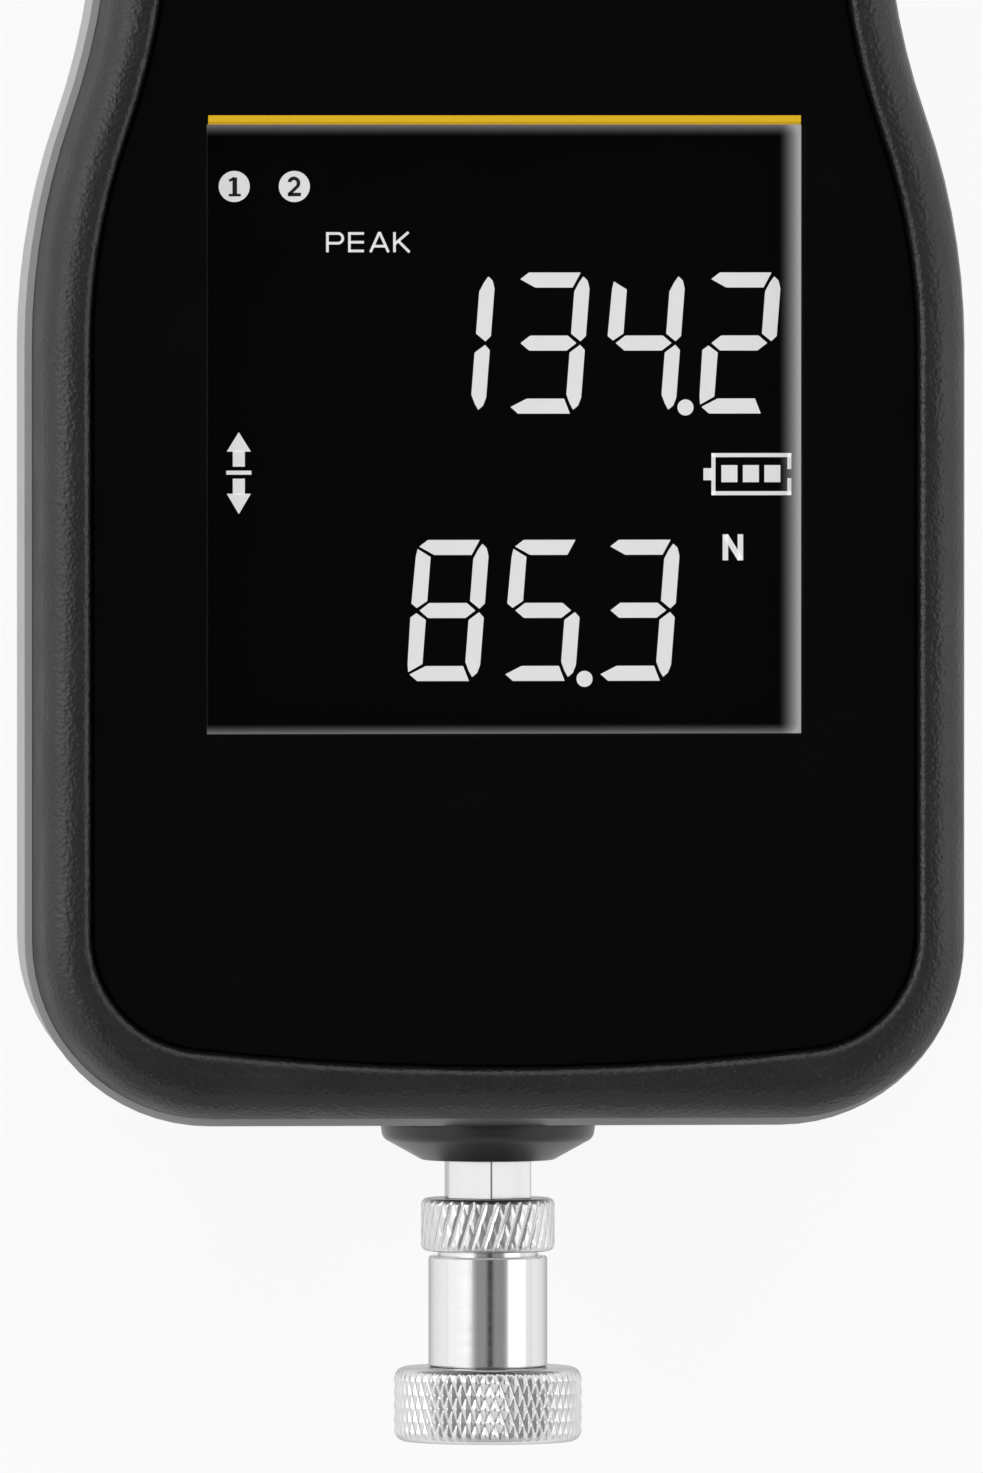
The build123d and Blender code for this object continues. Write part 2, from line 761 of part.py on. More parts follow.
# Seal in the rebate between the half shells
with BuildPart() as case_seal:
    with BuildSketch(Plane.XY.offset(parting_z - lip_depth - seal_thickness)):
        add(case_outline(lip_inset))
        add(case_outline(wall - lip_gap), mode=Mode.SUBTRACT)
    extrude(amount=seal_thickness)
save("case_seal", case_seal.part)

# Case screws, driven from the back
screw_seat_z = screw_recess_depth
with BuildPart() as case_screws:
    with BuildSketch(Plane.XY.offset(screw_seat_z)):
        with Locations(both_sides(case_screw_spots)):
            Circle(case_screw_head_radius)
    extrude(amount=-case_screw_head_height)
    with BuildSketch(Plane.XY.offset(screw_seat_z)):
        with Locations(both_sides(case_screw_spots)):
            Circle(case_screw_radius)
    extrude(amount=case_screw_length)
    # Cross recess in each head.
    with BuildSketch(Plane.XY.offset(screw_seat_z - case_screw_head_height)):
        with Locations(both_sides(case_screw_spots)):
            Rectangle(2.8, 0.7)
            Rectangle(0.7, 2.8)
    extrude(amount=1.2, mode=Mode.SUBTRACT)
save("case_screws", case_screws.part)

# Threaded inserts for a stand
with BuildPart() as stand_inserts:
    with BuildSketch():
        for d in (insert_start, insert_start + insert_spacing_y):
            with Locations(both_sides([(insert_spacing_x / 2, d)])):
                Circle(insert_radius)
                Circle(insert_bore_radius, mode=Mode.SUBTRACT)
    extrude(amount=insert_length)
save("stand_inserts", stand_inserts.part)

# Load train. The spindle is one turned and milled bar: stud, hexagon, stud.
hex_end = collar_height + hex_shown
ring_end = hex_end + lock_ring_length
sleeve_end = ring_end + sleeve_length
hex_inner_end = collar_seat_depth + collar_nut_thickness + 1.0
with BuildPart() as spindle:
    with BuildSketch(load_plane(-hex_end)):
        RegularPolygon(hex_across_flats / 2, 6, major_radius=False, rotation=30)
    extrude(amount=-(hex_end + hex_inner_end))
    fillet(spindle.edges().filter_by(Axis.Y), hex_edge_radius)
    with BuildSketch(load_plane(-(ring_end + sleeve_bore_depth - 0.6))):
        Circle(stud_radius)
    extrude(amount=-(ring_end + sleeve_bore_depth - 0.6 + cell_start + cell_thread_depth - 0.4))
save("spindle", spindle.part)

hex_bore_radius = hex_across_flats / 2 / cos(radians(30)) + hex_clearance
collar_tail = collar_seat_depth + collar_nut_thickness + 0.5
with BuildPart() as spindle_collar:
    add(
        turned(
            [
                (hex_bore_radius, collar_height),
                (collar_tip_radius, collar_height),
                (collar_radius - 0.2, collar_land),
                (collar_radius, 0.3),
                (collar_radius, 0.0),
                (collar_spigot_radius, 0.0),
                (collar_spigot_radius, -collar_tail),
                (hex_bore_radius, -collar_tail),
            ],
            0,
        ).part
    )
    rounds = spindle_collar.edges().filter_by(GeomType.CIRCLE)
    fillet(rounds.filter_by(lambda e: abs(e.radius - collar_tip_radius) < 0.01), 0.7)
    fillet(rounds.filter_by(lambda e: abs(e.radius - collar_radius + 0.2) < 0.01), 1.0)
save("spindle_collar", spindle_collar.part)

with BuildPart() as collar_nut:
    with BuildSketch(load_plane(collar_seat_depth)):
        RegularPolygon(collar_nut_across_flats / 2, 6, major_radius=False)
        Circle(collar_spigot_radius, mode=Mode.SUBTRACT)
    extrude(amount=-collar_nut_thickness)
save("collar_nut", collar_nut.part)

with BuildPart() as spindle_nut:
    with BuildSketch(load_plane(cell_start)):
        RegularPolygon(m6_across_flats / 2, 6, major_radius=False, rotation=30)
        Circle(stud_radius, mode=Mode.SUBTRACT)
    extrude(amount=jam_nut_thickness)
save("spindle_nut", spindle_nut.part)

with BuildPart() as lock_ring:
    add(
        turned(
            [
                (stud_radius + turning_gap, hex_end + turning_gap),
                (lock_ring_radius - 0.7, hex_end + turning_gap),
                (lock_ring_radius, hex_end + 0.6),
                (lock_ring_radius, ring_end - 0.6),
                (lock_ring_radius - 0.6, ring_end - turning_gap),
                (stud_radius + turning_gap, ring_end - turning_gap),
            ],
            0,
        ).part
    )
save("lock_ring", lock_ring.part)

with BuildPart() as adapter_sleeve:
    add(
        turned(
            [
                (stud_radius, ring_end),
                (sleeve_radius - 0.9, ring_end),
                (sleeve_radius - 0.9, ring_end + 0.4),
                (sleeve_radius - 0.15, ring_end + 0.4),
                (sleeve_radius, ring_end + 0.6),
                (sleeve_radius, sleeve_end - 0.15),
                (sleeve_radius - 0.15, sleeve_end),
                (spigot_radius, sleeve_end),
                (spigot_radius, sleeve_end + spigot_length - 0.4),
                (spigot_radius - 0.4, sleeve_end + spigot_length),
                (0.0, sleeve_end + spigot_length),
                (0.0, ring_end + sleeve_bore_depth),
                (stud_radius, ring_end + sleeve_bore_depth),
            ],
            0,
        ).part
    )
save("adapter_sleeve", adapter_sleeve.part)

with BuildPart() as pressure_foot:
    add(
        turned(
            [
                (spigot_radius + turning_gap, sleeve_end + turning_gap),
                (foot_radius, sleeve_end + turning_gap),
                (foot_radius, stick_out),
                (0.0, stick_out),
                (0.0, sleeve_end + spigot_length + 0.2),
                (spigot_radius + turning_gap, sleeve_end + spigot_length + 0.2),
            ],
            0,
        ).part
    )
    rims = pressure_foot.edges().filter_by(GeomType.CIRCLE)
    fillet(rims.filter_by(lambda e: abs(e.radius - foot_radius) < 0.01), foot_edge_radius)
save("pressure_foot", pressure_foot.part)

# S-shaped load cell: two crossing slots leave a beam with a pair of eyes through it
with BuildPart() as load_cell:
    cell_middle = (0, along(cell_start + cell_length / 2))
    with BuildSketch(Plane.XY.offset(load_axis_z - cell_thickness / 2)) as cell_face:
        with Locations(cell_middle):
            Rectangle(cell_width, cell_length)
        with Locations((-cell_eye_spacing / 2, cell_middle[1]), (cell_eye_spacing / 2, cell_middle[1])):
            Circle(cell_eye_radius, mode=Mode.SUBTRACT)
        slot_inset = cell_thread_depth + 1.0 + cell_slot / 2
        with Locations((-cell_width / 6, along(cell_start + slot_inset))):
            Rectangle(cell_width * 2 / 3, cell_slot, mode=Mode.SUBTRACT)
        with Locations((cell_width / 6, along(cell_end - slot_inset))):
            Rectangle(cell_width * 2 / 3, cell_slot, mode=Mode.SUBTRACT)
    extrude(amount=cell_thickness)
    chamfer(load_cell.edges().filter_by(Axis.Z).group_by(SortBy.DISTANCE)[-1], 0.8)
    with BuildSketch(load_plane(cell_start), load_plane(cell_end - cell_thread_depth)):
        Circle(stud_radius)
    extrude(amount=-cell_thread_depth, mode=Mode.SUBTRACT)
save("load_cell", load_cell.part)

# Bracket: base plate on four bosses and an upright behind the cell, with two gussets
bracket_bottom_z = floor_thickness + bracket_boss_height
bracket_top_z = bracket_bottom_z + bracket_thickness
with BuildPart() as cell_bracket:
    with BuildSketch(Plane.XY.offset(bracket_bottom_z)):
        with Locations((0, along((cell_start + cell_end + bracket_reach + 2) / 2))):
            RectangleRounded(
                2 * bracket_half_width, cell_end + bracket_reach + 2 - cell_start, 3.0
            )
        with Locations(both_sides(bracket_screw_spots)):
            Circle(bracket_screw_radius + fit_gap, mode=Mode.SUBTRACT)
    extrude(amount=bracket_thickness)
    with BuildSketch(Plane.XY.offset(bracket_top_z)):
        with Locations((0, along(cell_end + bracket_wall / 2))):
            Rectangle(2 * bracket_wall_half_width, bracket_wall)
    extrude(amount=load_axis_z + 6.5 - bracket_top_z)
    gusset_height = load_axis_z - 3.0 - bracket_top_z
    for x in (-10.5, 7.5):
        with BuildSketch(Plane(origin=(x, 0, 0), x_dir=(0, 1, 0), z_dir=(1, 0, 0))):
            with BuildLine():
                wall_y = along(cell_end + bracket_wall)
                Polyline(
                    (wall_y, bracket_top_z),
                    (wall_y + 9.0, bracket_top_z),
                    (wall_y, bracket_top_z + gusset_height),
                    close=True,
                )
            make_face()
        extrude(amount=3.0)
    with BuildSketch(load_plane(cell_end + bracket_wall)):
        Circle(stud_radius + fit_gap)
    extrude(amount=bracket_wall, mode=Mode.SUBTRACT)
save("cell_bracket", cell_bracket.part)

with BuildPart() as bracket_screws:
    with BuildSketch(Plane.XY.offset(bracket_top_z)):
        with Locations(both_sides(bracket_screw_spots)):
            Circle(bracket_screw_head_radius)
    extrude(amount=bracket_screw_head_height)
    with BuildSketch(Plane.XY.offset(bracket_top_z)):
        with Locations(both_sides(bracket_screw_spots)):
            Circle(bracket_screw_radius)
    extrude(amount=-bracket_screw_length)
    with BuildSketch(Plane.XY.offset(bracket_top_z + bracket_screw_head_height)):
        with Locations(both_sides(bracket_screw_spots)):
            RegularPolygon(1.2, 6)
    extrude(amount=-1.2, mode=Mode.SUBTRACT)
save("bracket_screws", bracket_screws.part)

with BuildPart() as cell_bolt:
    with BuildSketch(load_plane(cell_end + bracket_wall)):
        RegularPolygon(m6_across_flats / 2, 6, major_radius=False, rotation=30)
    extrude(amount=-4.0)
    with BuildSketch(load_plane(cell_end - cell_thread_depth + 0.5)):
        Circle(stud_radius)
    extrude(amount=-(cell_thread_depth - 0.5 + bracket_wall))
save("cell_bolt", cell_bolt.part)

# Cable from the cell's free side up to its plug on the board
plug_x, plug_along, plug_height = component_boxes[2][0], component_boxes[2][1], component_boxes[2][4]
with BuildPart() as cell_cable:
    with BuildLine():
        Spline(
            (cell_width / 2, along(plug_along), load_axis_z),
            (plug_x, along(plug_along), board_bottom_z - plug_height),
            tangents=((1, 0, 0), (0, 0, 1)),
        )
    with BuildSketch(Plane(origin=(cell_width / 2, along(plug_along), load_axis_z), z_dir=(1, 0, 0))):
        Circle(cable_radius)
    sweep()
save("cell_cable", cell_cable.part)

# Four round cells side by side, turned end for end in turn, and their contacts
bay_middle_y = along((bay_start + bay_end) / 2)
half_bay = (bay_end - bay_start) / 2
battery_seats = [
    ((2 * i - cell_count + 1) * (battery_radius + battery_gap), 1 if i % 2 else -1)
    for i in range(cell_count)
]
for i, (x, way) in enumerate(battery_seats):
    nub_y = bay_middle_y + way * (half_bay - contact_thickness)
    body_y = nub_y - way * battery_nub_length
    with BuildPart() as battery:
        with BuildSketch(Plane(origin=(x, nub_y, battery_axis_z), z_dir=(0, -way, 0))):
            Circle(battery_nub_radius)
        extrude(amount=battery_nub_length)
        with BuildSketch(Plane(origin=(x, body_y, battery_axis_z), z_dir=(0, -way, 0))):
            Circle(battery_radius)
        extrude(amount=battery_length)
        chamfer(battery.edges().filter_by(GeomType.CIRCLE).sort_by(SortBy.RADIUS)[-2:], 0.5)
    save(f"battery_{i + 1}", battery.part)

with BuildPart() as battery_contacts:
    for x, way in battery_seats:
        with BuildSketch(Plane.XY.offset(battery_axis_z - contact_height / 2)):
            with Locations(
                (x, bay_middle_y + half_bay - contact_thickness / 2),
                (x, bay_middle_y - half_bay + contact_thickness / 2),
            ):
                Rectangle(contact_width, contact_thickness)
        extrude(amount=contact_height)
        # Bent leaf against the battery's flat end.
        root_y = bay_middle_y - way * (half_bay - contact_thickness)
        tip_y = root_y + way * leaf_height
        with BuildSketch(Plane(origin=(x - 3.0, 0, battery_axis_z), x_dir=(0, 1, 0), z_dir=(1, 0, 0))):
            with BuildLine():
                Polyline(
                    (root_y, 4.6),
                    (tip_y, 0.8),
                    (tip_y, -0.8),
                    (root_y, -4.6),
                    (root_y, -4.0),
                    (tip_y - way * contact_thickness, -0.5),
                    (tip_y - way * contact_thickness, 0.5),
                    (root_y, 4.0),
                    close=True,
                )
            make_face()
        extrude(amount=6.0)
save("battery_contacts", battery_contacts.part)
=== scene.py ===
import json
import math

import bpy
import numpy as np
from mathutils import Matrix, Vector


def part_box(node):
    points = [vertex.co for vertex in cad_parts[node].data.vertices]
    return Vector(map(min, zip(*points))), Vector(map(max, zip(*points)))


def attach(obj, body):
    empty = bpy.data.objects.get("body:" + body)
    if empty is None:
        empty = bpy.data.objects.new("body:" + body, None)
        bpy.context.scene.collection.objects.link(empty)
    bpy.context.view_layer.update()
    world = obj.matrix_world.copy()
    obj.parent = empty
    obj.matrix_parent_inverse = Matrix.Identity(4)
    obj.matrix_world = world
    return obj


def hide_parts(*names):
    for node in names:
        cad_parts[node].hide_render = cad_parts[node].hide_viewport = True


# Force gauge lying on its back: finishes for the CAD pieces, knurled metal, the lit display and
# the printed marks. Sizes are in millimetres here and go into the meshes in metres.

mm = 0.001
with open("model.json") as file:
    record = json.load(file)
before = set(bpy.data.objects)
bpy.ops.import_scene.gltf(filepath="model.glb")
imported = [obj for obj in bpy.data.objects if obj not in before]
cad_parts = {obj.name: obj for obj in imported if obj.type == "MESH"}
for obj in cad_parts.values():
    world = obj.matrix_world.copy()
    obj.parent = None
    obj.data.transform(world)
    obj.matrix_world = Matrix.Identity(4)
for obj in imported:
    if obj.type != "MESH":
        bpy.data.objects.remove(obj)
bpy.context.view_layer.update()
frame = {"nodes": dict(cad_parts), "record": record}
nodes = frame["nodes"]
print("frame loaded:", len(nodes), "nodes")


def boxOf(name):
    # a CAD node's box in millimetres: its corners in metres, divided by mm
    low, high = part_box(name)
    return np.array(low) / mm, np.array(high) / mm


headEnd = boxOf("rear_shell")[0][1]  # the case's end face at the spindle
lensLow, lensHigh = boxOf("display_lens")
glassHigh = boxOf("lcd_glass")[1]
panelHigh = boxOf("front_panel")[1]
footLow, footHigh = boxOf("pressure_foot")
ringLow, ringHigh = boxOf("lock_ring")
loadAxisZ = (footLow[2] + footHigh[2]) / 2
lensBorder = 1.5  # the window ends this far inside its lens


# surfaces: every new piece comes out of one of these

def meshFrom(name, points, faces):
    # points in millimetres, each times mm, joined by the faces
    mesh = bpy.data.meshes.new(name)
    mesh.from_pydata((np.asarray(points, float) * mm).tolist(), [], faces)
    mesh.update()
    piece = bpy.data.objects.new(name, mesh)
    bpy.context.scene.collection.objects.link(piece)
    return piece


def gridFaces(nu, nv, closedU, closedV):
    # quads between neighbours of a nu by nv grid; a closed direction joins its end to its start
    u, v = np.meshgrid(
        np.arange(nu if closedU else nu - 1), np.arange(nv if closedV else nv - 1), indexing="ij"
    )
    u2, v2 = (u + 1) % nu, (v + 1) % nv
    return np.stack([u * nv + v, u2 * nv + v, u2 * nv + v2, u * nv + v2], -1).reshape(-1, 4)


def smooth(piece, angle):
    # soft shading, broken where two faces meet at more than the angle
    piece.data.polygons.foreach_set("use_smooth", np.ones(len(piece.data.polygons), bool))
    piece.data.set_sharp_from_angle(angle=math.radians(angle))
    return piece


def inkRibbons(name, ribbons, floorZ, thickness):
    # Flat marks. A ribbon is the strip between two edges a(t) and b(t), as thick as the ink: its
    # section at t is the rectangle a, a lowered, b lowered, b.
    points, faces, count = [], [], 0
    for a, b in ribbons:
        n = len(a)
        top = np.full((n, 1), floorZ + thickness)
        low = np.full((n, 1), floorZ)
        corners = [np.hstack([a, top]), np.hstack([a, low]), np.hstack([b, low]), np.hstack([b, top])]
        loop = np.stack(corners, 1)
        points.append(loop.reshape(-1, 3))
        quads = gridFaces(n, 4, False, True) + count
        faces += quads[:, ::-1].tolist()
        last = count + 4 * n - 1
        faces += [[count, count + 1, count + 2, count + 3], [last, last - 1, last - 2, last - 3]]
        count += 4 * n
    return meshFrom(name, np.vstack(points), faces)


def penStroke(line, half):
    # edges of a stroke: c(t) + h(t) n(t) and c(t) - h(t) n(t), n being the centre line's normal
    line, half = np.asarray(line, float), np.asarray(half, float)
    along = np.gradient(line, axis=0)
    along /= np.linalg.norm(along, axis=1)[:, None]
    normal = np.stack([-along[:, 1], along[:, 0]], 1) * half[:, None]
    return line + normal, line - normal


def discRibbon(x, y, radius, n=25):
    # a disc: along its width the chord is 2 sqrt(r^2 - x^2), and never quite nothing
    t = np.linspace(math.pi, 0, n)
    half = np.maximum(radius * np.sin(t), 0.002)
    return penStroke(np.stack([x + radius * np.cos(t), np.full(n, y)], 1), half)


def barRibbon(x0, y0, x1, y1, width):
    # a straight stroke, half the width to each side of the line between two points
    return penStroke([(x0, y0), (x1, y1)], [width / 2, width / 2])


def arcRibbon(x, y, radius, start, end, width, n=33):
    # a stroke along x + r cos(t), y + r sin(t), for t between two angles
    t = np.radians(np.linspace(start, end, n))
    line = np.stack([x + radius * np.cos(t), y + radius * np.sin(t)], 1)
    return penStroke(line, np.full(n, width / 2))


# finishes

def finish(name, look):
    # One procedural finish: two close tones mixed by noise, roughness that wanders, and a bump
    # made of grain and, where there is one, a leather cell pattern.
    material = bpy.data.materials.new(name)
    material.use_nodes = True
    tree = material.node_tree
    shader = tree.nodes["Principled BSDF"]
    place = tree.nodes.new("ShaderNodeTexCoord")

    def noise(scale, detail=3.0, stretch=(1, 1, 1)):
        # fractal noise of the place on the piece, times the stretch and the scale
        turn = tree.nodes.new("ShaderNodeMapping")
        turn.inputs["Scale"].default_value = stretch
        tree.links.new(place.outputs["Object"], turn.inputs["Vector"])
        node = tree.nodes.new("ShaderNodeTexNoise")
        node.inputs["Scale"].default_value = scale
        node.inputs["Detail"].default_value = detail
        tree.links.new(turn.outputs["Vector"], node.inputs["Vector"])
        return node.outputs["Fac"]

    def ramp(source, low, high, fromLow=0.3, fromHigh=0.7):
        # straight line from low to high while the source goes from fromLow to fromHigh
        node = tree.nodes.new("ShaderNodeMapRange")
        node.inputs["From Min"].default_value = fromLow
        node.inputs["From Max"].default_value = fromHigh
        node.inputs["To Min"].default_value = low
        node.inputs["To Max"].default_value = high
        tree.links.new(source, node.inputs["Value"])
        return node.outputs["Result"]

    stretch = look.get("stretch", (1, 1, 1))
    tone = np.array(look["tone"], float)
    drift = look.get("drift", 0.08)
    mix = tree.nodes.new("ShaderNodeMix")
    mix.data_type = "RGBA"
    mix.inputs["A"].default_value = (*(tone * (1 - drift)), 1)
    mix.inputs["B"].default_value = (*np.minimum(tone * (1 + drift), 1), 1)
    tree.links.new(noise(look.get("patch", 60), stretch=stretch), mix.inputs["Factor"])
    tree.links.new(mix.outputs["Result"], shader.inputs["Base Color"])
    rough = look.get("rough", 0.5)
    spread = look.get("roughDrift", 0.06)
    roughness = ramp(noise(look.get("smear", 140), stretch=stretch), rough - spread, rough + spread)
    if "wallRough" in look:  # rougher at lowZ by the extra, which is gone at highZ
        lowZ, highZ, extra = look["wallRough"]
        split = tree.nodes.new("ShaderNodeSeparateXYZ")
        tree.links.new(place.outputs["Object"], split.inputs["Vector"])
        more = tree.nodes.new("ShaderNodeMath")
        more.operation = "ADD"
        tree.links.new(roughness, more.inputs[0])
        tree.links.new(ramp(split.outputs["Z"], extra, 0.0, lowZ * mm, highZ * mm), more.inputs[1])
        roughness = more.outputs[0]
    tree.links.new(roughness, shader.inputs["Roughness"])
    shader.inputs["Metallic"].default_value = look.get("metal", 0.0)
    shader.inputs["Specular IOR Level"].default_value = look.get("specular", 0.5)
    shader.inputs["Specular Tint"].default_value = (*look.get("edge", (1, 1, 1)), 1)
    if "alpha" in look:
        shader.inputs["Alpha"].default_value = look["alpha"]
    if "glow" in look:
        shader.inputs["Emission Strength"].default_value = look["glow"]
        tree.links.new(mix.outputs["Result"], shader.inputs["Emission Color"])
    height = noise(look.get("grain", 3000), 2.0, stretch)
    if "cell" in look:
        cells = tree.nodes.new("ShaderNodeTexVoronoi")
        cells.feature = "SMOOTH_F1"
        cells.inputs["Scale"].default_value = look["cell"]
        tree.links.new(place.outputs["Object"], cells.inputs["Vector"])
        add = tree.nodes.new("ShaderNodeMath")
        add.operation = "MULTIPLY_ADD"
        add.inputs[1].default_value = look.get("cellShare", 1.5)
        tree.links.new(cells.outputs["Distance"], add.inputs[0])
        tree.links.new(height, add.inputs[2])
        height = add.outputs[0]
    bump = tree.nodes.new("ShaderNodeBump")
    bump.inputs["Strength"].default_value = look.get("bump", 0.2)
    bump.inputs["Distance"].default_value = look.get("depth", 0.05) * mm
    tree.links.new(height, bump.inputs["Height"])
    tree.links.new(bump.outputs["Normal"], shader.inputs["Normal"])
    return material


def dress(piece, material):
    # the piece's only material, in place of any it had
    piece.data.materials.clear()
    piece.data.materials.append(material)


looks = {
    "shell_grey": dict(tone=(0.52, 0.525, 0.525), drift=0.03, rough=0.6, specular=0.3, grain=2600,
                       bump=0.25, depth=0.04),
    "bezel_black": dict(tone=(0.008, 0.008, 0.0085), drift=0.3, patch=900, rough=0.34, specular=0.65,
                        wallRough=(38.2, 41.4, 0.4), grain=3000, cell=2400, cellShare=1.0,
                        bump=0.85, depth=0.08),
    "panel_black": dict(tone=(0.0016, 0.0016, 0.0017), drift=0.3, rough=0.5, specular=0.05, grain=5200,
                        bump=0.12, depth=0.01),
    "rubber_black": dict(tone=(0.02, 0.02, 0.02), drift=0.2, rough=0.7),
    "light_guide": dict(tone=(0.8, 0.82, 0.83), rough=0.3),
    "tray_white": dict(tone=(0.7, 0.7, 0.69), rough=0.45),
    "board_green": dict(tone=(0.012, 0.11, 0.04), drift=0.3, patch=300, rough=0.35),
    "chip_black": dict(tone=(0.02, 0.02, 0.022), rough=0.5),
    "screw_steel": dict(tone=(0.56, 0.56, 0.55), metal=1.0, rough=0.34, patch=400),
    "socket_steel": dict(tone=(0.6, 0.6, 0.61), metal=1.0, rough=0.28, patch=300),
    "mat_grey": dict(tone=(0.2, 0.21, 0.22), rough=0.6),
    "insert_brass": dict(tone=(0.72, 0.52, 0.22), metal=1.0, rough=0.3, patch=300),
    "collar_black": dict(tone=(0.01, 0.01, 0.0105), drift=0.2, rough=0.38, specular=0.7, grain=2600,
                         bump=0.3, depth=0.02),
    "cell_alloy": dict(tone=(0.7, 0.71, 0.73), metal=1.0, rough=0.38, patch=200),
    "bracket_zinc": dict(tone=(0.5, 0.51, 0.52), metal=1.0, rough=0.42, patch=120, drift=0.15),
    "contact_steel": dict(tone=(0.66, 0.65, 0.62), metal=1.0, rough=0.3, patch=300),
    "spindle_steel": dict(tone=(0.64, 0.64, 0.635), drift=0.06, metal=1.0, rough=0.22, patch=500,
                          stretch=(1, 0.1, 1), grain=2500, bump=0.1, depth=0.01, edge=(0.6, 0.6, 0.6)),
    "sleeve_steel": dict(tone=(0.84, 0.84, 0.835), drift=0.03, metal=1.0, rough=0.12, roughDrift=0.03,
                         patch=700, stretch=(1, 12, 1), bump=0.06, depth=0.01, edge=(0.5, 0.5, 0.5)),
    "ring_steel": dict(tone=(0.76, 0.76, 0.755), drift=0.1, metal=1.0, rough=0.27, patch=500,
                       edge=(0.6, 0.6, 0.6)),
    "foot_steel": dict(tone=(0.78, 0.78, 0.775), drift=0.1, metal=1.0, rough=0.26, patch=500,
                       edge=(0.6, 0.6, 0.6)),
    "battery_can": dict(tone=(0.06, 0.075, 0.1), drift=0.1, metal=0.4, rough=0.3),
    "key_grey": dict(tone=(0.075, 0.078, 0.082), drift=0.12, rough=0.55, grain=3000, bump=0.25),
    "key_orange": dict(tone=(0.72, 0.28, 0.02), drift=0.08, rough=0.5, grain=3000, bump=0.25),
}
finishes = {slot: finish(slot, look) for slot, look in looks.items()}
for entry in frame["record"]["subparts"]:
    slot = entry["material_slot"]
    if slot in finishes:
        dress(nodes[entry["node"]], finishes[slot])
print("finishes on the CAD pieces:", len(finishes))

# lens: clear sheet whose face only adds a little gloss
lensLook = dict(tone=(0.002, 0.002, 0.002), drift=0.05, rough=0.06, roughDrift=0.02, alpha=0.12,
                specular=0.25, bump=0.02, depth=0.005)
dress(nodes["display_lens"], finish("lens_clear", lensLook))


# display glass: near black, with painted light along the window's edges that stands in for light on the recess
# walls, strongest on the right
paintedEdgeLook = dict(paintedEdgeLight=0.45, widths=dict(right=1.95, left=0.4, top=1.2, bottom=0.95),
                 shares=dict(right=1.0, left=0.2, top=0.42, bottom=0.4))


def glassWithPaintedEdgeLight(look):
    # Each edge adds share * (1 - distance / width)^2 of the painted edge light, given as emission.
    material = finish("lcd_black", dict(tone=(0.002, 0.002, 0.0022), rough=0.35, specular=0.05, bump=0.02))
    tree = material.node_tree
    shader = tree.nodes["Principled BSDF"]
    place = tree.nodes.new("ShaderNodeTexCoord")
    split = tree.nodes.new("ShaderNodeSeparateXYZ")
    tree.links.new(place.outputs["Object"], split.inputs["Vector"])
    middle = (lensLow + lensHigh) / 2
    half = (lensHigh - lensLow) / 2 - lensBorder
    edges = {
        "right": ("X", middle[0] + half[0], -1),
        "left": ("X", middle[0] - half[0], 1),
        "top": ("Y", middle[1] + half[1], -1),
        "bottom": ("Y", middle[1] - half[1], 1),
    }
    total = None
    for side, (axis, edge, inward) in edges.items():
        fade = tree.nodes.new("ShaderNodeMapRange")
        fade.inputs["From Min"].default_value = edge * mm
        fade.inputs["From Max"].default_value = (edge + inward * look["widths"][side]) * mm
        fade.inputs["To Min"].default_value = 1.0
        fade.inputs["To Max"].default_value = 0.0
        tree.links.new(split.outputs[axis], fade.inputs["Value"])
        square = tree.nodes.new("ShaderNodeMath")
        square.operation = "POWER"
        square.inputs[1].default_value = 2.0
        tree.links.new(fade.outputs["Result"], square.inputs[0])
        share = tree.nodes.new("ShaderNodeMath")
        share.operation = "MULTIPLY_ADD"
        share.inputs[1].default_value = look["shares"][side]
        share.inputs[2].default_value = 0.0
        tree.links.new(square.outputs[0], share.inputs[0])
        if total is not None:
            tree.links.new(total, share.inputs[2])
        total = share.outputs[0]
    # painted light: this glow in the emission colour makes the window's edges bright where its walls would
    # catch light
    mix = tree.nodes.new("ShaderNodeMix")
    mix.data_type = "RGBA"
    mix.inputs["A"].default_value = (0, 0, 0, 1)
    mix.inputs["B"].default_value = (look["paintedEdgeLight"], look["paintedEdgeLight"], look["paintedEdgeLight"], 1)
    tree.links.new(total, mix.inputs["Factor"])
    tree.links.new(mix.outputs["Result"], shader.inputs["Emission Color"])
    shader.inputs["Emission Strength"].default_value = 1.0
    return material


dress(nodes["lcd_glass"], glassWithPaintedEdgeLight(paintedEdgeLook))
print("display glass done")


# knurled metal

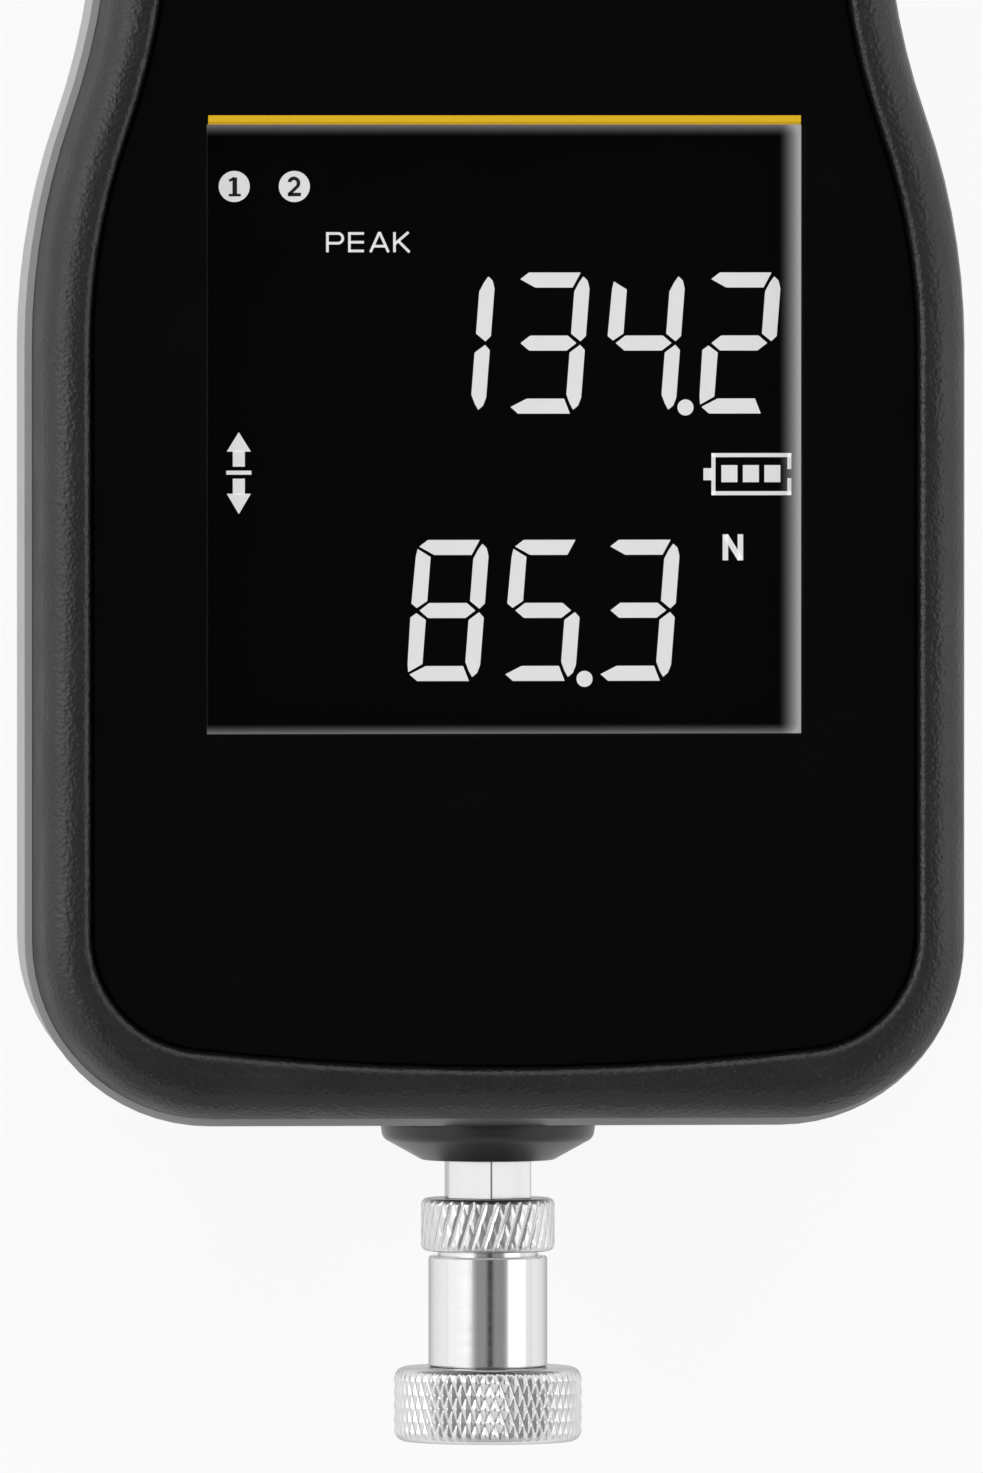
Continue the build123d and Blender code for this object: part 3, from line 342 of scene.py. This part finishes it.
def knurledTurning(name, profile, band, look):
    # A turned piece: the section (radius, distance down the axis) swept round the load axis,
    # cut by two crossing families of V grooves inside the band. At angle a and distance s the
    # radius loses depth * max(tri(na + ks), cross * tri(na - ks)), where tri is a triangle wave of
    # period 1 cut off at the crest, n the teeth per radian and k the helix's slope.
    radius, down = profile[:, 0], profile[:, 1]
    largest = radius.max()
    steps = look["teeth"] * look["steps"]
    angle = np.linspace(0, 2 * math.pi, steps, endpoint=False)
    a, s = np.meshgrid(angle, down, indexing="ij")
    r = np.broadcast_to(radius, a.shape).copy()
    turns = look["teeth"] / (2 * math.pi)
    slope = turns * math.tan(math.radians(look["helix"])) / largest

    def groove(phase):
        # 0 up to the crest's share of the wave, then straight up to 1
        wave = np.abs((phase % 1.0) - 0.5) * 2  # 1 on a groove's floor, 0 on the crest
        return np.clip((wave - look["crest"]) / (1 - look["crest"]), 0, 1)

    fade = look["fade"]
    inBand = np.clip((s - band[0]) / fade, 0, 1) * np.clip((band[1] - s) / fade, 0, 1)
    inBand = inBand * (r > largest - look["reach"])
    cut = np.maximum(groove(turns * a + slope * s), look["cross"] * groove(turns * a - slope * s))
    r = r - look["depth"] * cut * inBand
    points = np.stack([r * np.cos(a), headEnd - s, loadAxisZ + r * np.sin(a)], -1)
    faces = gridFaces(steps, len(down), True, True)
    return smooth(meshFrom(name, points.reshape(-1, 3), faces[:, ::-1].tolist()), look["sharpAngle"])


def roundedCorner(r, s, radius, startDeg, endDeg, n=7):
    # part of the section's outline: r + radius cos(t), s + radius sin(t)
    t = np.radians(np.linspace(startDeg, endDeg, n))
    return np.stack([r + radius * np.cos(t), s + radius * np.sin(t)], 1)


footPiece = dict(
    teeth=60, helix=20, depth=0.2, cross=0.85, crest=0.15, reach=0.4, fade=0.25, sharpAngle=28,
    rounding=1.1, plain=0.4,  # plain: the share of the rounding without grooves
    bore=4.05, boreDepth=4.2, pole=0.02, steps=12, rows=64,
)
footTop, footEnd = headEnd - footHigh[1], headEnd - footLow[1]
footRadius = (footHigh[0] - footLow[0]) / 2
rounding = footPiece["rounding"]
sideRows = np.linspace(footTop + rounding, footEnd - rounding, footPiece["rows"])
plainEnd = rounding * footPiece["plain"]
boreEnd = footTop + footPiece["boreDepth"]
footProfile = np.vstack([
    [(footPiece["bore"], boreEnd), (footPiece["bore"], footTop)],
    roundedCorner(footRadius - rounding, footTop + rounding, rounding, -90, 0),
    np.stack([np.full(len(sideRows), footRadius), sideRows], 1)[1:-1],
    roundedCorner(footRadius - rounding, footEnd - rounding, rounding, 0, 90),
    [(footPiece["pole"], footEnd), (footPiece["pole"], boreEnd)],
])
foot = knurledTurning("knurledFoot", footProfile, (footTop + plainEnd, footEnd - plainEnd), footPiece)
dress(foot, finishes["foot_steel"])
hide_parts("pressure_foot")
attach(foot, "foot")

ringPiece = dict(
    teeth=34, helix=-18, depth=0.17, cross=0.35, crest=0.45, reach=0.3, fade=0.25, sharpAngle=28,
    rounding=0.65, plain=0.3, bore=3.05, steps=18, rows=48,
)
ringTop, ringEnd = headEnd - ringHigh[1], headEnd - ringLow[1]
ringRadius = (ringHigh[0] - ringLow[0]) / 2
rounding = ringPiece["rounding"]
ringRows = np.linspace(ringTop + rounding, ringEnd - rounding, ringPiece["rows"])
plainEnd = rounding * ringPiece["plain"]
ringProfile = np.vstack([
    [(ringPiece["bore"], ringEnd), (ringPiece["bore"], ringTop)],
    roundedCorner(ringRadius - rounding, ringTop + rounding, rounding, -90, 0),
    np.stack([np.full(len(ringRows), ringRadius), ringRows], 1)[1:-1],
    roundedCorner(ringRadius - rounding, ringEnd - rounding, rounding, 0, 90),
])
lockRing = knurledTurning("knurledRing", ringProfile, (ringTop + plainEnd, ringEnd - plainEnd), ringPiece)
dress(lockRing, finishes["ring_steel"])
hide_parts("lock_ring")
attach(lockRing, "lock_ring")
print("knurled foot and lock ring done")


# lit display: everything that glows, as ribbons on the display glass

display = dict(
    scale=10.478,  # photo pixels in a millimetre
    middleX=504.0, endY=1125.0,  # photo pixels of the window's middle and of the case's end
    sink=0.15,  # sideways shift that makes up for the glass lying under the panel
    digitHeight=140.7, digitWidth=73.8, stroke=15.0, tip=9.2, slant=4.4,
    ink=0.04, lift=0.01, numberLift=0.06,  # how far the lit and the dark marks lie over the glass
)
segments = {"1": "bc", "2": "abged", "3": "abgcd", "4": "fgbc", "5": "afgcd", "8": "abcdefg"}


def fromPhoto(x, y):
    # pixel to millimetres: offset from the window's middle and from the case's end, over the scale
    across = (x - display["middleX"]) / display["scale"] + display["sink"]
    return across, headEnd + (display["endY"] - y) / display["scale"]


def photoBar(x0, y0, x1, y1, width):
    # a straight stroke given in pixels
    return barRibbon(*fromPhoto(x0, y0), *fromPhoto(x1, y1), width / display["scale"])


def digitRibbons(leftX, topY, symbol):
    # Seven strips with mitred ends. Each is the strip between two edges, given from the figure's
    # upper left corner; the lower three are the upper ones mirrored about the middle, and the
    # figure leans by its slant.
    s, w, h, e = display["stroke"], display["digitWidth"], display["digitHeight"], display["tip"]
    mid = h / 2
    bar = [((4, 6.5), (4.5, 7)), ((12, 0), (19.5, s)), ((w - 10, 0), (w - 17, s))]
    right = [((w - 7, 4), (w - 7.5, 4.5)), ((w - 2.5, 8), (w - 11, 10)), ((w, s + 1), (w - s, s + 4)),
             ((w, mid - 7), (w - s, mid - 9.5)), ((w - 5, mid - 1.8), (w - 5.4, mid - 2))]
    left = [((2.4, 9), (2.8, 9.2)), ((1.2, s + 2), (s + 1, s + 2)), ((0.4, mid - 7), (s + 1, mid - 9.5)),
            ((6, mid - 2.6), (6.5, mid - 2.8))]
    middle = [((e, mid - 0.2), (e, mid + 0.2)), ((e + 9, mid - s / 2), (e + 9, mid + s / 2)),
              ((w - e - 9, mid - s / 2), (w - e - 9, mid + s / 2)),
              ((w - e, mid - 0.2), (w - e, mid + 0.2))]
    made = []
    for name in segments[symbol]:
        shape = {"a": bar, "b": right, "f": left, "g": middle, "d": bar, "c": right, "e": left}[name]
        edges = np.array(shape, float)  # stations, two edges, x and y
        if name in "dce":
            edges[..., 1] = h - edges[..., 1]
        x = leftX + edges[..., 0] - edges[..., 1] * math.tan(math.radians(display["slant"]))
        mmX, mmY = fromPhoto(x, topY + edges[..., 1])
        strip = np.stack([mmX, mmY], -1)
        turned = name in "dceg"
        made.append((strip[:, 1], strip[:, 0]) if turned != (name in "bcf") else (strip[:, 0], strip[:, 1]))
    return made


glow = []
for leftX, symbol in ((422.4, "1"), (517.4, "3"), (612.6, "4"), (708.4, "2")):
    glow += digitRibbons(leftX, 270.8, symbol)
for leftX, symbol in ((416.4, "8"), (512.2, "5"), (607.4, "3")):
    glow += digitRibbons(leftX, 537.3, symbol)
for dotX, dotY in ((686, 405.4), (585, 676)):
    glow.append(discRibbon(*fromPhoto(dotX, dotY), 8 / display["scale"]))

# the word PEAK in thin strokes
letter = dict(x=(328, 350, 372, 393), top=230.5, bottom=250.5, stroke=2.6)
top, bottom, stroke = letter["top"], letter["bottom"], letter["stroke"]
half = (top + bottom) / 2
x = letter["x"][0]
glow += [photoBar(x, bottom, x, top, stroke), photoBar(x, top + 1.3, x + 11, top + 1.3, stroke),
         photoBar(x, half + 1, x + 11, half + 1, stroke)]
bowlX, bowlY = fromPhoto(x + 10.5, (top + 1.3 + half + 1) / 2)
bowlRadius = (half - 0.3 - top) / 2 / display["scale"]
glow.append(arcRibbon(bowlX, bowlY, bowlRadius, -90, 90, stroke / display["scale"]))
x = letter["x"][1]
glow += [photoBar(x, bottom, x, top, stroke)]
glow += [photoBar(x, level, x + 14.5, level, stroke) for level in (top + 1.3, half, bottom - 1.3)]
x = letter["x"][2]
glow += [photoBar(x - 1, bottom, x + 8, top, stroke), photoBar(x + 8, top, x + 17, bottom, stroke),
         photoBar(x + 2, half + 4, x + 14, half + 4, stroke)]
x = letter["x"][3] + 2
glow += [photoBar(x, bottom, x, top, stroke), photoBar(x, half + 2, x + 14, top, stroke),
         photoBar(x + 4, half - 1, x + 15, bottom, stroke)]

# bold N, the force's unit
glow += [photoBar(726, 558, 726, 532, 5.5), photoBar(741, 558, 741, 532, 5.5),
         photoBar(726, 533, 741, 557, 5.5)]

# arrows with a bar between them
def photoTriangle(tipX, tipY, baseY, baseWidth):
    # a stroke whose half width grows evenly from the tip to the base
    halves = [0.02, baseWidth / 2 / display["scale"]]
    return penStroke([fromPhoto(tipX, tipY), fromPhoto(tipX, baseY)], halves)


glow += [photoTriangle(239.5, 430, 449, 24), photoBar(239.5, 448, 239.5, 464, 12),
         photoTriangle(239.5, 511, 491, 24), photoBar(239.5, 492, 239.5, 476, 12),
         photoBar(227, 470, 252, 470, 4)]

# battery: outline, terminal and three cells
glow += [photoBar(712, 453, 792, 453, 4), photoBar(712, 491, 792, 491, 4), photoBar(714, 451, 714, 493, 4),
         photoBar(790, 451, 790, 467, 4), photoBar(790, 476, 790, 493, 4), photoBar(704, 472, 713, 472, 12)]
glow += [photoBar(cellX, 471.5, cellX + 16, 471.5, 17) for cellX in (722, 743.5, 765)]

# two filled circles that carry a number
glow += [discRibbon(*fromPhoto(circleX, 185), 15.5 / display["scale"], 41) for circleX in (235, 295)]
glowLook = dict(tone=(0.4, 0.4, 0.4), drift=0.03, patch=300, rough=0.5, glow=1.8, specular=0.1)
lit = inkRibbons("displayFigures", glow, glassHigh[2] + display["lift"], display["ink"])
dress(lit, finish("displayGlow", glowLook))
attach(lit, "case")

dark = [photoBar(235.5, 176, 235.5, 193, 4.6), photoBar(229.5, 193.6, 241.5, 193.6, 2.6),
        photoBar(230, 179.5, 235, 176.5, 2.6)]
twoX, twoY = fromPhoto(294.5, 181.5)
dark += [arcRibbon(twoX, twoY, 4.6 / display["scale"], 170, -35, 3.6 / display["scale"]),
         photoBar(299, 184, 289.5, 193, 3.2), photoBar(288.5, 193, 301.5, 193, 3.6)]
darkMarks = inkRibbons("displayNumbers", dark, glassHigh[2] + display["numberLift"], display["ink"])
dress(darkMarks, finishes["chip_black"])
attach(darkMarks, "case")
print("display figures done:", len(glow), "strips")


# printed stripe over the window
stripePiece = dict(reach=0.87, chamfer=0.25, ink=0.02, short=0.12, tone=(0.95, 0.57, 0.018))


def stripeStrip(halfLength, edgeY, topZ):
    # The section is the panel's own edge, down its chamfer, thickened by the ink; it is carried
    # straight along X from -halfLength to halfLength.
    reach, c, t = stripePiece["reach"], stripePiece["chamfer"], stripePiece["ink"]
    section = np.array([(reach, t), (c + t * 0.4, t), (0, t - c), (0, -c), (c, 0), (reach, 0)])
    x = np.array([-halfLength, halfLength])
    ends, ring = np.meshgrid(x, np.arange(len(section)), indexing="ij")
    points = np.stack([ends, edgeY + section[ring, 0], topZ + section[ring, 1]], -1)
    n = len(section)
    faces = gridFaces(2, n, False, True)[:, ::-1].tolist()
    faces += [list(range(n)), list(range(2 * n - 1, n - 1, -1))]
    return meshFrom("orangeStripe", points.reshape(-1, 3), faces)


windowTop = lensHigh[1] - lensBorder
stripe = stripeStrip(lensHigh[0] - lensBorder - stripePiece["short"], windowTop, panelHigh[2])
stripeLook = dict(tone=stripePiece["tone"], drift=0.03, rough=0.45, specular=0.2)
dress(stripe, finish("stripeInk", stripeLook))
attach(stripe, "case")


# key legends: plain symbols on the caps
legendPiece = dict(stroke=0.55, rise=0.015, size=2.0)


def legendRibbons(name, x, y):
    # strokes and discs about the cap's middle, every offset a share of the symbol's size
    s, w = legendPiece["size"], legendPiece["stroke"]
    if name == "key_power":  # open ring with a bar
        return [arcRibbon(x, y, s, 125, 415, w), barRibbon(x, y + s * 0.35, x, y + s * 1.25, w)]
    if name == "key_light":  # small disc with rays
        rays = [(math.cos(a), math.sin(a)) for a in np.radians(np.arange(0, 360, 45))]
        near, far = s * 0.75, s * 1.2
        return [discRibbon(x, y, s * 0.45)] + [
            barRibbon(x + c * near, y + e * near, x + c * far, y + e * far, w * 0.8) for c, e in rays]
    if name == "key_zero":
        return [arcRibbon(x, y, s * 0.9, 0, 360, w)]
    if name == "key_peak":  # a curve's peak under a line
        return [barRibbon(x - s * 1.3, y - s * 0.8, x, y + s * 0.7, w),
                barRibbon(x, y + s * 0.7, x + s * 1.3, y - s * 0.8, w),
                barRibbon(x - s * 1.3, y + s * 1.15, x + s * 1.3, y + s * 1.15, w)]
    if name == "key_unit":  # two arrows past each other
        up = [(x - s * 0.6, y + s * 1.1), (x - s * 0.6, y + s * 0.2)]
        down = [(x + s * 0.6, y - s * 1.1), (x + s * 0.6, y - s * 0.2)]
        return [penStroke(up, [0.02, s * 0.5]), penStroke(down, [0.02, s * 0.5]),
                barRibbon(x - s * 0.6, y + s * 0.25, x - s * 0.6, y - s * 1.1, w),
                barRibbon(x + s * 0.6, y - s * 0.25, x + s * 0.6, y + s * 1.1, w)]
    # the last key: a ring with a dot in it
    return [arcRibbon(x, y, s * 0.95, 0, 360, w), discRibbon(x, y, s * 0.4)]


legendInk = finish("legendInk", dict(tone=(0.7, 0.7, 0.69), drift=0.04, rough=0.5))
for name in ("key_power", "key_light", "key_zero", "key_peak", "key_unit", "key_set"):
    low, high = boxOf(name)
    strokes = legendRibbons(name, (low[0] + high[0]) / 2, (low[1] + high[1]) / 2)
    rise = legendPiece["rise"]
    legend = inkRibbons(name + "Legend", strokes, high[2] - rise * 0.5, rise * 0.45)
    dress(legend, legendInk)
    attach(legend, name)
print("stripe and key legends done")


# stage, light and camera

# white is the share of the floor that shows plain white; the rest takes the shadow
backdrop = dict(tone=0.8, white=0.86, level=1.03, reach=3, drop=0.0005)


def backdropMaterial():
    # mostly white to the camera, to metal and through glass; a plain pale floor for everything else
    material = bpy.data.materials.new("backdrop")
    material.use_nodes = True
    tree = material.node_tree
    shader = tree.nodes["Principled BSDF"]
    shader.inputs["Base Color"].default_value = (backdrop["tone"], backdrop["tone"], backdrop["tone"], 1)
    shader.inputs["Roughness"].default_value = 0.9
    shader.inputs["Specular IOR Level"].default_value = 0.0
    glowing = tree.nodes.new("ShaderNodeEmission")
    glowing.inputs["Strength"].default_value = backdrop["level"]
    path = tree.nodes.new("ShaderNodeLightPath")
    seen = path.outputs["Is Camera Ray"]
    for kind in ("Is Glossy Ray", "Is Transmission Ray"):
        either = tree.nodes.new("ShaderNodeMath")
        either.operation = "MAXIMUM"
        tree.links.new(seen, either.inputs[0])
        tree.links.new(path.outputs[kind], either.inputs[1])
        seen = either.outputs[0]
    share = tree.nodes.new("ShaderNodeMath")
    share.operation = "MULTIPLY"
    share.inputs[1].default_value = backdrop["white"]
    tree.links.new(seen, share.inputs[0])
    mix = tree.nodes.new("ShaderNodeMixShader")
    tree.links.new(share.outputs[0], mix.inputs["Fac"])
    tree.links.new(shader.outputs["BSDF"], mix.inputs[1])
    tree.links.new(glowing.outputs["Emission"], mix.inputs[2])
    tree.links.new(mix.outputs["Shader"], tree.nodes["Material Output"].inputs["Surface"])
    return material


floorMesh = bpy.data.meshes.new("floor")
reach, floorZ = backdrop["reach"], -backdrop["drop"]
floorPoints = [(x, y, floorZ) for x, y in ((-reach, -reach), (reach, -reach), (reach, reach), (-reach, reach))]
floorMesh.from_pydata(floorPoints, [], [(0, 1, 2, 3)])
floor = bpy.data.objects.new("floor", floorMesh)
bpy.context.scene.collection.objects.link(floor)
floorMesh.materials.append(backdropMaterial())

world = bpy.data.worlds.new("studio")
bpy.context.scene.world = world
world.use_nodes = True
# A bright ring of softboxes round a grey ceiling, with a dark card over the camera: the sky's level
# goes by the angle from straight up, and it is dimmer on the right and beyond the spindle.
sky = dict(card=(4.2, 0.02), ceiling=(8.0, 26.0, 0.3), boxes=(46.0, 88.0, 1.08), ground=(92.0, 0.6),
           rightLoss=0.15, headLoss=0.55)


def skyPosition(degrees):
    # place on the ramp of a direction this far from straight up: (cos + 1) / 2
    return (math.cos(math.radians(degrees)) + 1) / 2


tree = world.node_tree
place = tree.nodes.new("ShaderNodeTexCoord")
split = tree.nodes.new("ShaderNodeSeparateXYZ")
tree.links.new(place.outputs["Generated"], split.inputs["Vector"])
up = tree.nodes.new("ShaderNodeMapRange")
up.inputs["From Min"].default_value = -1.0
tree.links.new(split.outputs["Z"], up.inputs["Value"])
levels = tree.nodes.new("ShaderNodeValToRGB")
stops = [
    sky["ground"],
    (sky["boxes"][1], sky["boxes"][2]),
    (sky["boxes"][0], sky["boxes"][2]),
    (sky["ceiling"][1], sky["ceiling"][2]),
    (sky["ceiling"][0], sky["ceiling"][2]),
    sky["card"],
]
while len(levels.color_ramp.elements) < len(stops):
    levels.color_ramp.elements.new(0.5)
for stop, (degrees, level) in zip(levels.color_ramp.elements, stops):
    stop.position = skyPosition(degrees)
    stop.color = (level, level, level, 1)
tree.links.new(up.outputs["Result"], levels.inputs["Fac"])
dim = tree.nodes.new("ShaderNodeMath")
dim.operation = "MULTIPLY"
for socket, (axis, far, loss) in enumerate((("X", 1.0, sky["rightLoss"]), ("Y", -1.0, sky["headLoss"]))):
    side = tree.nodes.new("ShaderNodeMapRange")
    side.inputs["From Max"].default_value = far
    side.inputs["To Min"].default_value = 1.0
    side.inputs["To Max"].default_value = 1.0 - loss
    tree.links.new(split.outputs[axis], side.inputs["Value"])
    tree.links.new(side.outputs["Result"], dim.inputs[socket])
tree.links.new(levels.outputs["Color"], tree.nodes["Background"].inputs["Color"])
tree.links.new(dim.outputs[0], tree.nodes["Background"].inputs["Strength"])

lampTarget = Vector((0, -0.05, 0.02))
lamps = {
    "key": dict(at=(-0.8, 0.1, 0.62), size=(0.4, 0.7), power=1.0),
    "fill": dict(at=(0.8, -0.1, 0.6), size=(0.4, 0.7), power=0.5),
}
for name, lamp in lamps.items():
    data = bpy.data.lights.new(name, "AREA")
    data.shape = "RECTANGLE"
    data.size, data.size_y = lamp["size"]
    data.energy = lamp["power"]
    light = bpy.data.objects.new(name, data)
    light.location = lamp["at"]
    light.rotation_euler = (lampTarget - Vector(lamp["at"])).to_track_quat("-Z", "Y").to_euler()
    bpy.context.scene.collection.objects.link(light)

# The camera stands over levelAt and looks down at lookAt, both from the case's end; yaw leans it
# to the left, and the frame is frameHeight tall at the height of the target.
view = dict(yaw=4.4, distance=2.5, levelAt=96.0, lookAt=37.2, lookX=-0.42, frameHeight=140.6, height=30.0)
camData = bpy.data.cameras.new("photo")
cam = bpy.data.objects.new("photo", camData)
bpy.context.scene.collection.objects.link(cam)
yaw = math.radians(view["yaw"])
stand = Vector((view["lookX"] * mm, (headEnd + view["levelAt"]) * mm, view["height"] * mm))
cam.location = stand + Vector((-math.sin(yaw), 0, math.cos(yaw))) * view["distance"]
target = Vector((view["lookX"] * mm, (headEnd + view["lookAt"]) * mm, view["height"] * mm))
aim = target - cam.location
ahead = aim.normalized()
across = ahead.cross(Vector((0, 1, 0))).normalized()
turn = Matrix((across, across.cross(ahead), -ahead)).transposed().to_4x4()
cam.rotation_mode = "QUATERNION"
cam.rotation_quaternion = turn.to_quaternion()
camData.sensor_width = 36.0
camData.lens = camData.sensor_width * aim.length / (view["frameHeight"] * mm)
camData.clip_start, camData.clip_end = 0.1, 20
bpy.context.scene.camera = cam
bpy.context.scene.view_settings.view_transform = "Standard"
print("stage, lamps and camera done")
